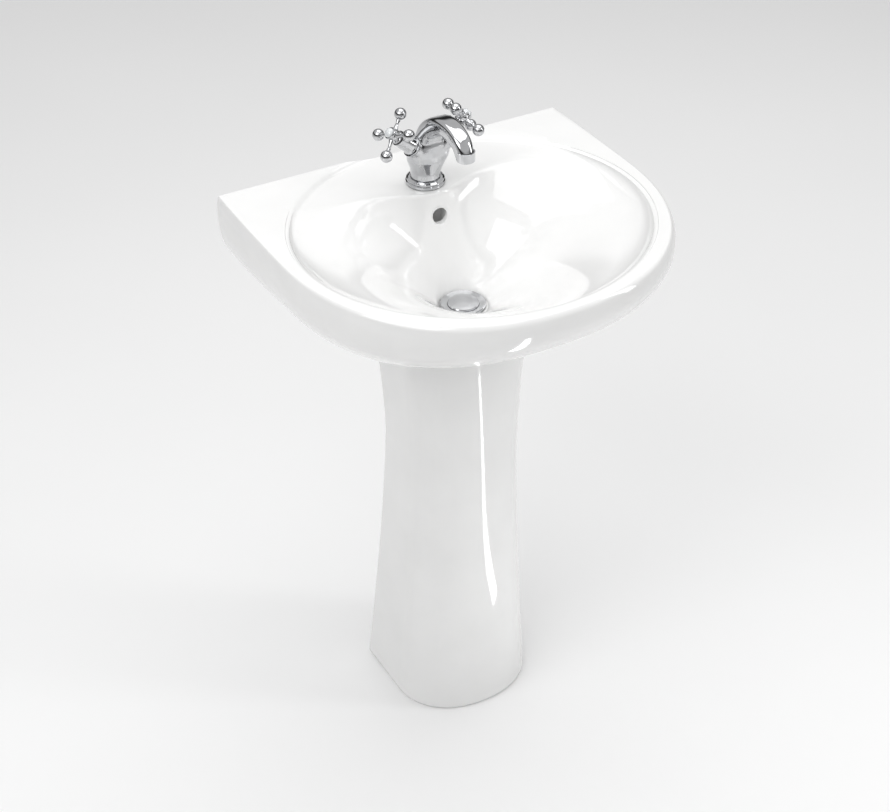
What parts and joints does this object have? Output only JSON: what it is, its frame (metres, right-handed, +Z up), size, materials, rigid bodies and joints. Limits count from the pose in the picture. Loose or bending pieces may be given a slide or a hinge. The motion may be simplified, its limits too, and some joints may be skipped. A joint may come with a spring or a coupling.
{
  "type": "pedestal wash basin with mixer",
  "caption": "Wash basin on a floor pedestal, with a two-handle mixer, push-button waste and bottle trap.",
  "frame": {"origin": "on the floor, under the middle of the part's bounding box in plan", "axes": "+Z up, +X to the right of someone standing at the basin, +Y towards the wall it hangs on"},
  "size_m": [0.5401, 0.47, 0.9618],
  "materials": {
    "china": "gloss",
    "chrome": "polished",
    "rubber": "matt",
    "white_plastic": "matt",
    "cap_plastic": "gloss",
    "disc_ceramic": "satin",
    "brass": "satin",
    "steel": "satin"
  },
  "bodies": {
    "basin_body": {"basin": "china", "pedestal": "china", "tap_gasket": "rubber", "tap_base_ring": "chrome", "tap_body": "chrome", "tap_stud": "steel", "horseshoe_washer": "rubber", "horseshoe_plate": "steel", "stud_nut": "brass", "aerator_housing": "chrome", "aerator_seal": "rubber", "aerator_insert": "white_plastic", "waste_seal": "rubber", "waste_body": "chrome", "plug_cartridge": "white_plastic", "lower_seal": "rubber", "waste_washer": "white_plastic", "waste_nut": "brass", "inlet_nut": "chrome", "inlet_seal": "rubber", "inlet_tube": "chrome", "trap_body": "chrome", "neck_seal": "rubber", "neck_nut": "chrome", "trap_cup": "chrome", "cup_seal": "rubber", "outlet_seal": "rubber", "outlet_nut": "chrome", "outlet_pipe": "chrome", "hot_cartridge": "steel", "hot_ceramic_discs": "disc_ceramic", "hot_shroud": "chrome", "cold_cartridge": "steel", "cold_ceramic_discs": "disc_ceramic", "cold_shroud": "chrome"},
    "hot_turn": {"hot_handle": "chrome", "hot_handle_screw": "steel", "hot_index_cap": "cap_plastic", "hot_spindle": "steel"},
    "cold_turn": {"cold_handle": "chrome", "cold_handle_screw": "steel", "cold_index_cap": "cap_plastic", "cold_spindle": "steel"},
    "plug_button": {"plug_cap": "chrome", "plug_seal": "rubber", "plug_plunger": "chrome"}
  },
  "joints": [
    {"name": "hot_handle_turn", "type": "hinge", "parent": "basin_body", "child": "hot_turn", "pos_m": [0, 0.132, 0.869], "axis": [-0.766, 0, 0.6428], "range_deg": [0, 90]},
    {"name": "cold_handle_turn", "type": "hinge", "parent": "basin_body", "child": "cold_turn", "pos_m": [0, 0.132, 0.869], "axis": [-0.766, 0, -0.6428], "range_deg": [0, 90]},
    {"name": "plug_slide", "type": "slide", "parent": "basin_body", "child": "plug_button", "axis": [0, 0, 1], "range_m": [0, 0.008]}
  ]
}
